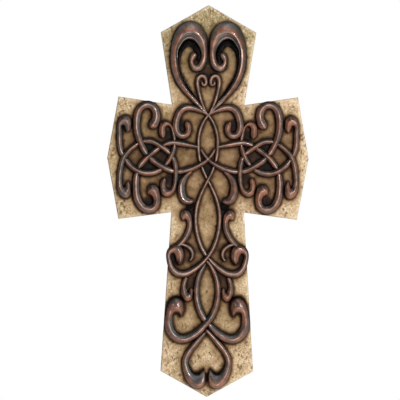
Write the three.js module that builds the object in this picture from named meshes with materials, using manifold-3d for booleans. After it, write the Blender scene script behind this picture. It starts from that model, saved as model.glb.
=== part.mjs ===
// A wall cross: a stone-look cross board with pointed ends, faced with one casting of interlaced scrollwork.
// Millimetres, +Z up, front towards -Y. The origin is on the flat back, where arm axis and post axis cross.
import * as THREE from "three";
import { mergeVertices } from "three/addons/utils/BufferGeometryUtils.js";
import Module from "manifold-3d";

const wasm = await Module();
wasm.setup();

// Board: half-widths from the centre line, and drops below the top point
const HEIGHT = 393;
const ARM_AXIS_DROP = 153.5;
const SHOULDER = { half: 48, drop: 27.5 };
const UPPER_NOTCH = { half: 36.5, drop: 100 };
const ARM_TOP = { half: 90, drop: 92 };
const ARM_POINT_HALF = 101;
const ARM_FOOT = { half: 89.5, drop: 215 };
const LOWER_NOTCH = { half: 36.5, drop: 208 };
const FOOT = { half: 46.5, drop: 367 };
const BOARD_THICKNESS = 14;
const EDGE_CHAMFER = 1.5;

// Keyhole recess in the back, for a wall screw
const KEYHOLE = { drop: 78, entry: 10, slot: 5.5, rise: 10, lip: 2.5, depth: 7.5, arcSteps: 8 };

// Scrollwork section: a ridge on upright sides, higher where the strand is wider
const CREST_BASE = 2.6;
const CREST_PER_WIDTH = 0.42;
const SHOULDER_SHARE = 0.42;
const OVER_LIFT = 1.7;
const UNDER_DIP = 1.3;
const INNER_BEND_LIMIT = 0.9;
const HEAD_SIDES = 14;
const MOST_TURN = THREE.MathUtils.degToRad(23);
const LONGEST_STEP = 13;
const FINE_STEPS = 24;
const END_RINGS = [
  { ahead: 0.26, scale: 0.8 },
  { ahead: 0.42, scale: 0.4 },
];

// Strands of the left half, from pen points [out, drop, width, lift]: out from the centre line, drop below
// the top point, lift 1 where the strand passes over another and -1 where it passes under. A crest below 0
// leans towards the inside of the heart.
const STRANDS = [
  {
    name: "heart",
    crest: -0.25,
    pen: [
      [0, 111, 3.6], [14.8, 95, 4.6], [30, 75, 6.4], [34.3, 54, 8.2], [29.5, 34.5, 11.5], [16.8, 25.5, 17],
      [6.5, 35, 11.5], [4, 50, 8.2], [12, 62.8, 7.3], [16.8, 56.5, 5.8], [13.6, 51.8, 5.2],
    ],
  },
  {
    name: "small heart",
    pen: [[0.5, 110.5, 3], [7.5, 95, 3.8], [10.8, 81, 4.4], [6.3, 71.2, 5], [2.2, 77, 4.2], [4.3, 80.6, 5.4]],
  },
  {
    name: "vine",
    pen: [
      [0, 110.5, 3.5], [8.1, 126, 3.8], [9.7, 142, 4], [6.5, 161, 3.7, -1], [0, 175.5, 3.4, -1],
      [-10.6, 201, 4.2], [-11.6, 222, 4.4], [0, 252.5, 5, 1], [15, 266, 6.4], [28, 269.3, 7.4],
      [37.9, 256, 5.2], [31.5, 243.3, 6.2], [27, 249, 7.6], [30.3, 256.8, 5.2],
    ],
  },
  {
    name: "foot vine",
    pen: [
      [0, 257, 4, -1], [8.5, 272, 5.4], [10.8, 288, 6.2], [7, 306.5, 6.8], [0, 318, 7.4, -1],
      [-14, 331, 9], [-27.6, 334, 10], [-38.5, 320, 9.4], [-36.3, 305.5, 10], [-30, 300, 10],
      [-25.9, 305, 9], [-25.6, 309, 6.5],
    ],
    head: { out: -30.8, drop: 300.3, radius: 8.8 },
  },
  {
    name: "shoulder scroll",
    pen: [
      [2.7, 109, 3.4], [14, 103.8, 6.6], [23.5, 103.5, 7.8], [31.7, 116, 7.5], [25.2, 131.3, 7],
      [18.4, 123, 5.2], [21, 119.2, 4.6],
    ],
  },
  {
    name: "upper arm strand",
    pen: [
      [10.1, 142.3, 4.4], [28, 138.8, 6], [38, 138.3, 6], [46.4, 142, 5.4, -1], [59.6, 152, 5.6, 1],
      [69.3, 164.5, 6, -1], [71.9, 182, 7.4], [69, 197.5, 8.6], [59.6, 205, 9], [50.5, 195, 7.8],
      [55, 185.3, 8.2], [57.7, 189, 5.2],
    ],
  },
  {
    name: "outer arm strand",
    pen: [
      [80, 180, 5.2], [79.5, 186, 5.8], [83.3, 189.6, 6.4], [88, 179, 6], [87.3, 165, 6],
      [83, 151.5, 6, 1], [73, 141.3, 5.6], [68.5, 138.6, 5.8, -1], [58, 136.6, 6], [47, 142, 6, 1],
      [36.8, 150.5, 5.4, -1], [32.1, 166, 5.6, 1], [32, 177, 5.4], [40, 188.3, 6.4], [46.1, 182.5, 6],
      [44.5, 178.5, 5],
    ],
  },
  {
    name: "inner arm strand",
    pen: [
      [79.7, 124, 5.5], [80.3, 117.5, 7], [84.2, 114.4, 7], [88.7, 126, 6.2], [88.3, 139, 6],
      [83.5, 153.5, 6, -1], [69.6, 166.6, 6.6, 1], [59.1, 168.8, 6.8], [44.4, 162.7, 5.6, -1],
      [36, 150, 5.2, 1], [33.3, 139.5, 5, -1], [37, 124.5, 5.3], [42.5, 119.6, 6], [46.6, 124.5, 6],
      [45.3, 129.6, 5],
    ],
  },
  {
    name: "lower arm strand",
    pen: [
      [54.6, 120, 9.4], [51.8, 113.4, 8.6], [61.3, 100.3, 8], [71.3, 114, 8.2], [70.3, 130, 7.4],
      [67.5, 138, 7.2, 1], [60.1, 151, 6.2, -1], [44.5, 162.7, 6.6, 1], [32.1, 167, 6.2, -1],
      [20, 165.4, 6.4], [8.1, 160.3, 5.6, 1], [0, 154.5, 4.6], [-6.5, 145.5, 3.4],
    ],
  },
  {
    name: "side scroll",
    pen: [[17.6, 168, 4.5], [25.3, 178, 7], [26, 188, 8.2], [21.3, 196, 8.4], [16.7, 196.3, 5]],
  },
  {
    name: "post scroll",
    pen: [
      [24.2, 212, 6], [22.3, 208, 6.2], [17.3, 213, 5.6], [17.5, 224, 5.6], [27.7, 238, 4.8], [38, 246, 3.6],
    ],
  },
  {
    name: "tendril",
    pen: [[26.7, 240, 4], [19, 242.5, 4.4], [14.9, 250, 4], [17, 255.5, 2.8]],
  },
  {
    name: "foot hook",
    pen: [[22.4, 274.5, 4.6], [25.6, 283, 6], [21, 292.3, 6.4], [16.6, 286.5, 4.4]],
  },
  {
    name: "foot heart",
    pen: [
      [0, 326, 5, -1], [14, 342, 6.6], [21.6, 358, 7.4], [18.6, 369, 9.5], [12, 375.5, 11], [5.5, 375.5, 8],
      [3.4, 369, 4], [3.8, 364, 1.8],
    ],
    head: { out: 10, drop: 374.5, radius: 9.2 },
  },
];

const smooth = (t) => t * t * (3 - 2 * t);

// The roundest curve through the pen points, as cubic Bezier spans whose leaving angles balance at each point
function roundCurve(points) {
  const last = points.length - 1;
  const chords = [];
  for (let k = 0; k < last; k += 1) chords.push(points[k + 1].clone().sub(points[k]));
  const lengths = chords.map((c) => c.length());
  const bends = [0];
  for (let k = 1; k < last; k += 1) {
    bends.push(Math.atan2(chords[k - 1].cross(chords[k]), chords[k - 1].dot(chords[k])));
  }
  bends.push(0);

  // Forward sweep of the tridiagonal system, then back substitution
  const upper = [1];
  const right = [-bends[1]];
  for (let k = 1; k < last; k += 1) {
    const before = 1 / lengths[k - 1];
    const after = 1 / lengths[k];
    const pivot = 2 * before + 2 * after - before * upper[k - 1];
    upper.push(after / pivot);
    right.push((-2 * before * bends[k] - after * bends[k + 1] - before * right[k - 1]) / pivot);
  }
  const leaving = new Array(last + 1);
  leaving[last] = -right[last - 1] / (1 - upper[last - 1]);
  for (let k = last - 1; k >= 0; k -= 1) leaving[k] = right[k] - upper[k] * leaving[k + 1];

  const origin = new THREE.Vector2();
  return chords.map((chord, k) => {
    const theta = leaving[k];
    const phi = -bends[k + 1] - leaving[k + 1];
    const outHandle = chord.clone().rotateAround(origin, theta).multiplyScalar(handleShare(theta, phi));
    const inHandle = chord.clone().rotateAround(origin, -phi).multiplyScalar(handleShare(phi, theta));
    return new THREE.CubicBezierCurve(
      points[k],
      points[k].clone().add(outHandle),
      points[k + 1].clone().sub(inHandle),
      points[k + 1],
    );
  });
}

function handleShare(theta, phi) {
  const [st, ct, sp, cp] = [Math.sin(theta), Math.cos(theta), Math.sin(phi), Math.cos(phi)];
  const lean = Math.SQRT2 * (st - sp / 16) * (sp - st / 16) * (ct - cp);
  const root = Math.sqrt(5);
  return (2 + lean) / (3 * (1 + ((root - 1) / 2) * ct + ((3 - root) / 2) * cp));
}

// How many steps a span needs, from its turning and its length
function stepsAlong(span) {
  let turn = 0;
  for (let i = 0; i < FINE_STEPS; i += 1) {
    const from = span.getTangent(i / FINE_STEPS);
    const to = span.getTangent((i + 1) / FINE_STEPS);
    turn += Math.abs(Math.atan2(from.cross(to), from.dot(to)));
  }
  return Math.max(1, Math.ceil(turn / MOST_TURN), Math.ceil(span.getLength() / LONGEST_STEP));
}

// Signed curvature of a span at t
function bendAt(span, t) {
  const low = Math.max(0, t - 0.05);
  const high = Math.min(1, t + 0.05);
  const from = span.getTangent(low);
  const to = span.getTangent(high);
  const turn = Math.atan2(from.cross(to), from.dot(to));
  return turn / span.getPoint(low).distanceTo(span.getPoint(high));
}

// Stations along a strand; strands that cross on the centre line weave the other way on the right half
function stationsOf(strand, side) {
  const pen = strand.pen.map(([out, drop, width, lift = 0]) => ({
    at: new THREE.Vector2(out, drop),
    width,
    lift: out === 0 && side > 0 ? -lift : lift,
  }));
  const stations = [];
  roundCurve(pen.map((p) => p.at)).forEach((span, k) => {
    const steps = stepsAlong(span);
    for (let i = k === 0 ? 0 : 1; i <= steps; i += 1) {
      const blend = smooth(i / steps);
      stations.push({
        at: span.getPoint(i / steps),
        heading: span.getTangent(i / steps),
        bend: bendAt(span, i / steps),
        width: THREE.MathUtils.lerp(pen[k].width, pen[k + 1].width, blend),
        lift: THREE.MathUtils.lerp(pen[k].lift, pen[k + 1].lift, blend),
        scale: 1,
      });
    }
  });
  const tail = END_RINGS.map((ring) => pastEnd(stations.at(-1), ring, 1));
  const nose = END_RINGS.map((ring) => pastEnd(stations[0], ring, -1)).reverse();
  return [...nose, ...stations, ...tail];
}

// A smaller station past the end of a strand, which rounds the end off
function pastEnd(station, ring, way) {
  const at = station.at.clone().addScaledVector(station.heading, way * ring.ahead * station.width);
  return { ...station, at, scale: ring.scale, bend: 0 };
}

// The ridge section at a station: foot, shoulder, crest, shoulder, foot
function section({ at, heading, bend, width, lift, scale }, crest, side) {
  const half = (width / 2) * scale;
  const bendLimit = INNER_BEND_LIMIT / Math.max(Math.abs(bend), 1e-6);
  const plus = bend > 0 ? Math.min(half, bendLimit) : half;
  const minus = bend < 0 ? Math.min(half, bendLimit) : half;
  const rise = CREST_BASE + CREST_PER_WIDTH * width + lift * (lift > 0 ? OVER_LIFT : UNDER_DIP);
  const height = rise * (0.45 + 0.55 * scale);
  const profile = [
    [-minus, 0],
    [-minus, height * SHOULDER_SHARE],
    [crest * half, height],
    [plus, height * SHOULDER_SHARE],
    [plus, 0],
  ];
  return profile.map(([across, up]) => new THREE.Vector3(
    side * (at.x - heading.y * across),
    -BOARD_THICKNESS - up,
    ARM_AXIS_DROP - (at.y + heading.x * across),
  ));
}

// A closed skin over a row of sections
function skin(sections) {
  const around = sections[0].length;
  const index = [];
  for (let i = 0; i + 1 < sections.length; i += 1) {
    for (let j = 0; j < around; j += 1) {
      const a = i * around + j;
      const b = i * around + ((j + 1) % around);
      index.push(a, b, b + around, a, b + around, a + around);
    }
  }
  const end = (sections.length - 1) * around;
  for (let j = 1; j + 1 < around; j += 1) {
    index.push(0, j + 1, j);
    index.push(end, end + j, end + j + 1);
  }
  const geometry = new THREE.BufferGeometry().setFromPoints(sections.flat());
  geometry.setIndex(index);
  return geometry;
}

function toManifold(geometry) {
  const bare = geometry.clone();
  bare.deleteAttribute("normal");
  bare.deleteAttribute("uv");
  const merged = mergeVertices(bare, 1e-4);
  const vertProperties = new Float32Array(merged.getAttribute("position").array);
  const triVerts = new Uint32Array(merged.getIndex().array);
  return new wasm.Manifold(new wasm.Mesh({ numProp: 3, vertProperties, triVerts }));
}

function fromManifold(solid) {
  const mesh = solid.getMesh();
  const geometry = new THREE.BufferGeometry();
  geometry.setAttribute("position", new THREE.BufferAttribute(new Float32Array(mesh.vertProperties), 3));
  geometry.setIndex(new THREE.BufferAttribute(new Uint32Array(mesh.triVerts), 1));
  geometry.computeVertexNormals();
  return geometry;
}

function strandSolid(strand, side) {
  const sections = stationsOf(strand, side).map((s) => section(s, strand.crest ?? 0, side));
  const solid = toManifold(skin(side < 0 ? sections.reverse() : sections));
  return strand.head ? solid.add(headSolid(strand.head, side)) : solid;
}

// A domed head at the end of a heavy strand
function headSolid({ out, drop, radius }, side) {
  const height = CREST_BASE + CREST_PER_WIDTH * 2 * radius;
  const profile = [
    [0, 0],
    [radius, 0],
    [radius, height * SHOULDER_SHARE],
    [radius * 0.55, height * 0.88],
    [0, height],
  ];
  const dome = new THREE.LatheGeometry(profile.map(([r, up]) => new THREE.Vector2(r, up)), HEAD_SIDES);
  dome.rotateX(Math.PI);
  dome.translate(side * out, -BOARD_THICKNESS, ARM_AXIS_DROP - drop);
  return toManifold(dome);
}

// A flat shape in x and z, carried from one depth behind the back plane to another
function plate(shape, nearBack, nearFront, bevel = 0) {
  const geometry = new THREE.ExtrudeGeometry(shape, {
    depth: nearFront - nearBack - 2 * bevel,
    bevelEnabled: bevel > 0,
    bevelThickness: bevel,
    bevelSize: bevel,
    bevelOffset: -bevel,
    bevelSegments: 1,
    curveSegments: KEYHOLE.arcSteps,
  });
  geometry.rotateX(Math.PI / 2);
  geometry.translate(0, -nearBack - bevel, 0);
  return toManifold(geometry);
}

function boardShape() {
  const z = (drop) => ARM_AXIS_DROP - drop;
  const rightSide = [
    [0, 0],
    [SHOULDER.half, SHOULDER.drop],
    [UPPER_NOTCH.half, UPPER_NOTCH.drop],
    [ARM_TOP.half, ARM_TOP.drop],
    [ARM_POINT_HALF, ARM_AXIS_DROP],
    [ARM_FOOT.half, ARM_FOOT.drop],
    [LOWER_NOTCH.half, LOWER_NOTCH.drop],
    [FOOT.half, FOOT.drop],
    [0, HEIGHT],
  ];
  const leftSide = rightSide.slice(1, -1).reverse().map(([half, drop]) => [-half, drop]);
  return new THREE.Shape([...rightSide, ...leftSide].map(([x, drop]) => new THREE.Vector2(x, z(drop))));
}

function keyholeSolid() {
  const z = ARM_AXIS_DROP - KEYHOLE.drop;
  const slotShape = (width) => {
    const shape = new THREE.Shape();
    shape.absarc(0, z + KEYHOLE.rise, width / 2, 0, Math.PI);
    shape.absarc(0, z, width / 2, Math.PI, 2 * Math.PI);
    return shape;
  };
  const entry = new THREE.Shape().absarc(0, z, KEYHOLE.entry / 2, 0, 2 * Math.PI);
  const mouth = plate(entry, -1, KEYHOLE.lip + 0.5);
  const neck = plate(slotShape(KEYHOLE.slot), -1, KEYHOLE.lip + 0.5);
  const pocket = plate(slotShape(KEYHOLE.entry), KEYHOLE.lip, KEYHOLE.depth);
  return mouth.add(neck).add(pocket);
}

function piece(name, solid, look) {
  const mesh = new THREE.Mesh(fromManifold(solid), new THREE.MeshStandardMaterial(look));
  mesh.name = name;
  return mesh;
}

const behindBack = new THREE.BoxGeometry(4 * ARM_POINT_HALF, 10, 3 * HEIGHT).translate(0, 5, 0);
const slab = plate(boardShape(), -2 * EDGE_CHAMFER, BOARD_THICKNESS, EDGE_CHAMFER);
const board = slab.subtract(toManifold(behindBack)).subtract(keyholeSolid());

const strandSolids = STRANDS.flatMap((strand) => [strandSolid(strand, -1), strandSolid(strand, 1)]);
const scrollwork = wasm.Manifold.union(strandSolids);

const cross = new THREE.Group();
cross.name = "wall_cross";
cross.add(piece("stone_backboard", board, { color: 0xcdb78f, roughness: 0.8, metalness: 0 }));
cross.add(piece("scrollwork", scrollwork, { color: 0x6a3f30, roughness: 0.42, metalness: 0.75 }));

export default cross;
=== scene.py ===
"""A wall cross: a pitted stone-look board faced with a bronze-finish casting of interlaced scrollwork."""

import math

import bmesh
import bpy
import numpy as np
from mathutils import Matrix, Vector, geometry, kdtree, noise


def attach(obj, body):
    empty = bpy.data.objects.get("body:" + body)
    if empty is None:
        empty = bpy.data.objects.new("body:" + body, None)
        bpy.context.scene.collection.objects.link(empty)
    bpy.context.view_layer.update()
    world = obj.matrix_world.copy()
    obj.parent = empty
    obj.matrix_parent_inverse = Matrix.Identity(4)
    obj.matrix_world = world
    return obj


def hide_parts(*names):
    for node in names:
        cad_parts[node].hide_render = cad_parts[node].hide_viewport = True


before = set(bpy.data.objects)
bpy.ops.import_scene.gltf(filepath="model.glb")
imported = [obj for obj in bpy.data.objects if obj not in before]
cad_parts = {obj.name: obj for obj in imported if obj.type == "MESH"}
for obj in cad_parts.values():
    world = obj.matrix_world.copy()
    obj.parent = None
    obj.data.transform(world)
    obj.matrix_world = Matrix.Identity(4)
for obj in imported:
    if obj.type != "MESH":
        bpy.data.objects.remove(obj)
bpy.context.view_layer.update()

MM = 0.001

# Board: half-widths from the centre line, and drops below the top point, in millimetres
HEIGHT = 393
ARM_AXIS_DROP = 153.5
BOARD_OUTLINE = [
    (0, 0), (48, 27.5), (36.5, 100), (90, 92), (101, ARM_AXIS_DROP),
    (89.5, 215), (36.5, 208), (46.5, 367), (0, HEIGHT),
]
BOARD_THICKNESS = 14
EDGE_CHAMFER = 1.5
GRAIN_STEP = 0.9
GRID_REACH = 110
SIDE_LEVELS = (0.35, 1, 3, 5.5, 8, 10.5, BOARD_THICKNESS)

# Pits, drawn from one seed: how many, spacing along a streak, and ranges of x and z
PIT_SEED = 11
PIT_COUNT = 620
PIT_SPACING = 1.9
PIT_RANGE_X = (-100, 100)
PIT_RANGE_Z = (-238, 152)

# Keyhole in the back: drop of its entry, rise above it, radii, depths, and the cutters' overhang
KEYHOLE_DROP = 78
KEYHOLE_RISE = 10
HEAD_RADIUS = 5
NECK_RADIUS = 2.75
KEYHOLE_LIP = 3
HEAD_ROOM = (2.5, 7.5)
CUT_OVERHANG = 1

# Brown wash and painted shade in the pockets: how deeply they take red, green and blue
WASH_AND_SHADE_DEPTH = (1.0, 1.2, 1.45)

# Scrollwork section
CREST_BASE = 2.6
CREST_PER_WIDTH = 0.42
OVER_LIFT = 1.7
UNDER_DIP = 1.3
INNER_BEND_LIMIT = 0.9
STATION_STEP = 1.05
WALL_SHARE = 0.42
WEB_HEIGHT = 1.2
WEB_STEP = 1.2
LEAST_WIDTH = 2.4
END_REACH = 0.45
END_TURNS = (20, 40, 58, 73, 85)
LEAD_STATIONS = 7
BEND_SPREAD = 9
BEND_GAIN = 60
WELD = 0.02

# Strands of the left half as pen points (out, drop, width, lift), lift 1 to pass over and -1 to pass under
STRANDS = {
    "heart": [
        (0, 111, 3.6), (14.8, 95, 5), (29.9, 75, 7.2), (34.4, 54, 8.2),
    ],
    "small heart": [
        (0.5, 110.5, 3), (7.5, 95, 4), (10.8, 81, 4.8), (6.3, 71.2, 5.6),
        (2.3, 76.8, 4.4), (3.9, 80.4, 4.2), (6.1, 78.7, 3.6),
    ],
    "vine": [
        (0, 110.5, 3.5), (8.1, 126, 3.8), (9.7, 142, 4), (6.5, 161, 3.7, -1), (0, 175.5, 3.4, -1),
        (-10.6, 201, 4.2), (-11.6, 222, 4.4), (0, 252.5, 5, 1),
        (15, 266, 6.8), (28, 269.3, 7.8), (38.2, 256, 5.4),
    ],
    "foot vine": [
        (0, 257, 4, -1), (8.5, 272, 5.4), (10.8, 288, 6.2), (7, 306.5, 6.8), (0, 318, 7.4, -1),
        (-14, 331, 9), (-27.6, 334, 10), (-38.5, 320, 9.4),
    ],
    "shoulder scroll": [
        (2.7, 109, 3.4), (14, 103.8, 6.6), (23.5, 103.5, 7.8), (31.7, 116, 7.5), (25.2, 131.3, 7.6),
    ],
    "upper arm strand": [
        (10.1, 142.3, 4.6), (28, 138.8, 6.4), (38, 138.3, 6.4), (46.4, 142, 6, -1), (59.6, 152, 6.2, 1),
        (69.3, 164.5, 6.4, -1), (71.9, 182, 7.6), (69, 197.5, 8.6), (59.6, 205, 9),
    ],
    "lower outer hook": [
        (63.5, 137, 5.4, -1), (68.5, 138.6, 5.6, -1), (73, 141.3, 5.6), (83, 151.5, 6, 1), (87.3, 165, 6),
        (88.2, 176, 5.8),
    ],
    "outer arm strand": [
        (73, 140.6, 5.6, -1), (68.5, 138.6, 6, -1), (58, 136.6, 6.4), (47, 142, 6.4, 1),
        (36.8, 150.5, 5.8, -1), (32.1, 166, 6, 1), (32.5, 177, 5.2),
    ],
    "upper outer hook": [
        (79, 158.5, 5.6, -1), (83.5, 153.5, 5.8, -1), (88.3, 139, 6), (88.5, 129, 6),
    ],
    "inner arm strand": [
        (86, 148, 5.8, -1), (83.5, 153.5, 6, -1), (69.6, 166.6, 6.8, 1), (59.1, 168.8, 7),
        (44.4, 162.7, 6, -1), (36, 150, 5.6, 1), (33.3, 139.5, 5, -1), (34.6, 129, 4.2),
    ],
    "lower arm strand": [
        (54.6, 120, 10.4), (51.8, 113.4, 9), (61.3, 100.3, 8), (71.3, 114, 8.2), (70.3, 130, 7.4),
        (67.5, 138, 7.2, 1), (60.1, 151, 6.6, -1), (44.5, 162.7, 7, 1), (32.1, 167, 6.6, -1),
        (20, 165.4, 6.6), (8.1, 160.3, 5.8, 1), (0, 154.5, 4.8), (-6.5, 145.5, 3.4),
    ],
    "side scroll": [
        (17.6, 168, 4.5), (25.3, 178, 7.4), (26, 188, 8.8), (21.3, 196, 8.8), (17.2, 196.6, 6.4),
    ],
    "post scroll": [(38, 247, 4.6), (29.5, 241.5, 6.2), (20.4, 230, 6.6), (17.7, 221, 5.9)],
    "tendril": [(26.7, 240, 4.6), (19, 242.5, 5), (14.9, 250, 4.4), (17, 255.5, 3)],
    "foot hook": [(21.6, 274.5, 5), (23.6, 283, 5.6)],
    "foot heart": [(0, 326, 5, -1), (14, 342, 6.6), (21.6, 358, 7.4)],
}

# Tails, where a strand swells into a bulb or leaf, as rows of an outer and an inner edge point (out, drop)
TAILS = {
    "heart": [
        (37.1, 39, 30, 46), (33.9, 29, 27.6, 41.3), (28.1, 20.7, 24.7, 37.4), (18.9, 17, 19.9, 35),
        (9.9, 19.7, 15.4, 36), (4.1, 26.5, 11.4, 39.8), (1, 35, 8.8, 44.5), (0.4, 45, 7.5, 49.5),
        (1, 55, 7.9, 53.7), (3.5, 62.5, 9.1, 57.2), (8.8, 67, 10.8, 59.4), (14.8, 66.8, 12.7, 59.6),
        (18.6, 61.5, 14, 58.2), (19.5, 55, 14, 56.3), (18, 49.8, 13, 55), (15, 47.8, 12.1, 53.5),
        (12.1, 49.6, 11.7, 52),
    ],
    "vine": [
        (40.6, 246.4, 36.3, 251), (37.7, 242.1, 35.6, 250), (32.7, 239.5, 34.9, 249.6),
        (27.5, 240.3, 34.2, 250), (24, 244.3, 33.4, 251.2), (22.8, 250, 32.7, 253.2),
        (23.6, 255.4, 32, 256), (26, 259.4, 31.2, 258.6), (28.6, 260.7, 29.4, 260.4),
    ],
    "foot vine": [
        (-42, 308.3, -33.9, 313.9), (-40.4, 300, -33.5, 310.8), (-37.1, 293.9, -32.4, 309.2),
        (-30.9, 291.2, -31.2, 308.6), (-25.4, 293.3, -30.2, 308.9), (-22.4, 298.9, -29.2, 309.4),
        (-22.4, 306.1, -28.3, 310.6), (-23.9, 310.8, -27.5, 311.8), (-26.2, 312.5, -26.7, 312.6),
    ],
    "shoulder scroll": [
        (20.6, 133.4, 23.4, 126.6), (17.3, 129.5, 22.8, 125.3), (16.1, 124.3, 23, 123.6),
        (17.1, 119.6, 23.6, 121.3), (19.8, 116.7, 23.5, 118.5), (21.9, 116.3, 21.6, 116.4),
    ],
    "upper arm strand": [
        (51.6, 207.2, 57.4, 200.5), (47.7, 201, 55.4, 199), (47, 194, 54.6, 196.5), (47.9, 186, 55.1, 194),
        (50.9, 181, 56, 192.5), (54.9, 179.3, 56.7, 191.8), (58.3, 180.4, 57.4, 191.3),
        (60.2, 183.6, 58, 190.9), (60.5, 187.4, 58.6, 190.6), (59.7, 189.9, 59.2, 190.2),
    ],
    "lower outer hook": [
        (90.9, 182, 85.1, 179), (89.6, 188, 84.5, 181.3), (86.9, 192.4, 83.9, 182.3),
        (82.9, 194.6, 83.4, 182.6), (78.9, 193.6, 83, 182.3), (76.8, 190, 82.7, 181.5),
        (76.5, 185, 82.4, 180.3), (77.3, 180.2, 81.9, 178.5), (79.4, 177, 80.7, 176.9),
    ],
    "outer arm strand": [
        (32.2, 186.2, 36.1, 182), (35.9, 190.8, 37.9, 184), (41.4, 192.7, 39.6, 184.4),
        (45.9, 190.6, 40.7, 183.6), (48.1, 185.5, 41.6, 181.7), (48.1, 179.5, 41.7, 179),
        (46.7, 175, 41.3, 176.3), (44.2, 173, 42.9, 173.3),
    ],
    "upper outer hook": [
        (91.3, 122, 86.1, 123), (89.8, 115.5, 85.8, 122.1), (86.6, 111.6, 85.1, 121.7),
        (82.6, 110.3, 84.3, 121.9), (78.8, 112, 83.7, 122.7), (76.6, 116, 83.3, 124),
        (76.2, 121, 82.9, 125.4), (77.6, 125.8, 82.2, 126.8), (80.2, 127.9, 81.4, 127.8),
    ],
    "inner arm strand": [
        (35.4, 121.8, 37.7, 124), (38.2, 118, 38.8, 122.4), (41.8, 115.9, 40.3, 121.8),
        (46, 116.9, 41.7, 122.6), (49, 121.5, 42.4, 124.8), (49.7, 127.3, 42.2, 128),
        (48.4, 132, 42.3, 131.3), (45.4, 134.1, 44.2, 133.9),
    ],
    "post scroll": [
        (15.3, 213.5, 20.7, 217.4), (17.4, 207.8, 21, 216.2), (21.2, 204.8, 21.4, 215.6),
        (24.8, 205.3, 21.8, 215.3), (26.9, 208.2, 22.3, 215.3), (27, 211.8, 22.8, 215.4),
        (25.6, 215, 23.8, 215.8),
    ],
    "foot hook": [
        (26.6, 288, 20.2, 284.2), (25.2, 293.4, 19.8, 286), (22, 297, 19.4, 287), (18, 297.1, 19, 287.4),
        (14.9, 294, 18.6, 287.2), (13.6, 289.4, 18.3, 286.4), (13.9, 285.6, 18, 284.8),
        (15.4, 283.5, 17, 283.4),
    ],
    "foot heart": [
        (24.1, 367.2, 16.3, 362.8), (20.7, 376.1, 14.1, 366.3), (14.5, 382.2, 12.2, 367.7),
        (8.4, 383.9, 10.2, 368.1), (4, 382.2, 8.3, 367.7), (1.5, 378.3, 6.9, 367), (1.3, 372.8, 5.7, 366),
        (1.9, 367.2, 4.7, 364.9), (3.1, 363.7, 3.6, 363.6),
    ],
}

# Low dark webs of the casting, from pen points (out, drop, width); the heart wall is partly the casting's
# web, partly painted shade under the heart's arch
WEBS = {
    "heart wall": [
        (10, 97, 1.4), (21, 81, 2), (28, 68, 2.4), (29.6, 55, 3), (28.1, 47, 4), (24.9, 42, 5.2),
        (18.9, 38.4, 6.8), (14.1, 41, 7), (11.3, 46, 6.4), (9.8, 52, 4.5), (10.5, 56, 3.5),
    ],
    "scroll link": [(13, 199, 6), (17, 202, 8.5), (21.5, 203, 8)],
}

# Deepest pockets, darkened by brown wash and painted shade where the strands crowd in: (out, drop, radius,
# depth of the wash and shade)
DEEP_POCKETS = [
    (59, 142, 6, 3.4), (60, 161, 7, 3), (47.7, 151, 7, 1.7), (73, 151, 6, 0.5), (0, 163, 5.5, 3.2),
    (38.5, 142, 3.5, 2), (37.7, 159.5, 3.5, 2), (27.7, 171, 3.5, 2.6), (11, 54, 4.5, 2.4),
    (19.5, 249, 10, 0.8), (18, 276, 7, 1.5), (22, 151, 9, 0.3), (26.3, 119, 4.5, 2.2), (26, 124, 4, 1.5),
    (38.8, 131, 5.5, 2.4), (37.3, 175, 6, 2.4), (14, 208, 5, 2.4), (14, 217, 3, 1.8), (34.6, 256, 5, 1.8),
    (83.6, 184, 3, 2), (84, 124, 3, 2), (59, 197, 5, 2.6), (0, 373, 4, 5), (0, 65, 8, 1.8),
    (0, 205, 14, 0.2),
]

# Side towards which slopes are painted copper rather than slate: painted warm light from the lower left
WARM_LIT_SIDE = (-0.5, 0, -0.85)
# Side on which the dark rims are painted lighter: painted light from the lower right
LIT_RIM_SIDE = (0.7, 0, -0.7)

# Share of the way along from which a leaf darkens to its tip
TIP_FROM = {"vine": 0.93, "foot vine": 0.9, "foot heart": 0.85}

# How far in from the crest a leaf's inner slope darkens
INNER_DARK = {"foot vine": 0.6, "foot heart": 0.5}

# How much further in from its edge a bulb is dark, in millimetres, and how dark it is all over
RIM_DARK = {"foot vine": 3.2, "vine": 1.2}
BULB_DARK = {"foot vine": 0.3}

# Strands whose crest carries less rubbed light and painted highlight than the others
CREST_LIGHT = {"side scroll": 0.3, "foot vine": 0.5}

# Crest's lean towards the inside of a bend, and its share of the way in from a tail's outer edge
LEAN = {"heart": 0.45, "side scroll": -0.25, "foot heart": -0.1}
TAIL_CREST = {"vine": 0.42, "foot vine": 0.62, "foot heart": 0.27}

# Finish of each strand that isn't finished as a hook
FINISH = {
    "heart": "heart", "small heart": "vine", "vine": "vine", "foot vine": "leaf", "foot heart": "leaf",
    "tendril": "vine",
}

# How round the crest is: 1 for a roof ridge, 2 for an arch
CREST_ROUND = {"hook": 1.35, "vine": 1.35, "leaf": 1.75, "heart": 1.5}

# Groove and raised rim of the heart's bevel: share of the way in from the crest, and spread
HEART_GROOVE = (0.2, 0.1)
HEART_RIM = (0.84, 0.09)

# Angles in degrees above which an edge is shaded as a sharp one
CASTING_SHARP = 48
BOARD_SHARP = 55

# Colours of the stone
STONE_TAN = (0.43, 0.325, 0.180)
STONE_WARM = (0.47, 0.345, 0.205)
# Paler, rosier tone towards the right side: painted light
STONE_ROSY_LIT = (0.54, 0.39, 0.265)
# Darker olive towards the top: the stone's tone with painted shade
STONE_OLIVE_SHADED = (0.235, 0.200, 0.092)
STONE_PALE = (0.60, 0.48, 0.33)
STONE_DULL = (0.28, 0.195, 0.09)
STONE_BRIGHT = (0.80, 0.69, 0.52)
STONE_BROWN = (0.20, 0.13, 0.06)
STONE_EDGE = (0.78, 0.66, 0.50)
STONE_MARK = (0.10, 0.055, 0.025)

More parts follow.
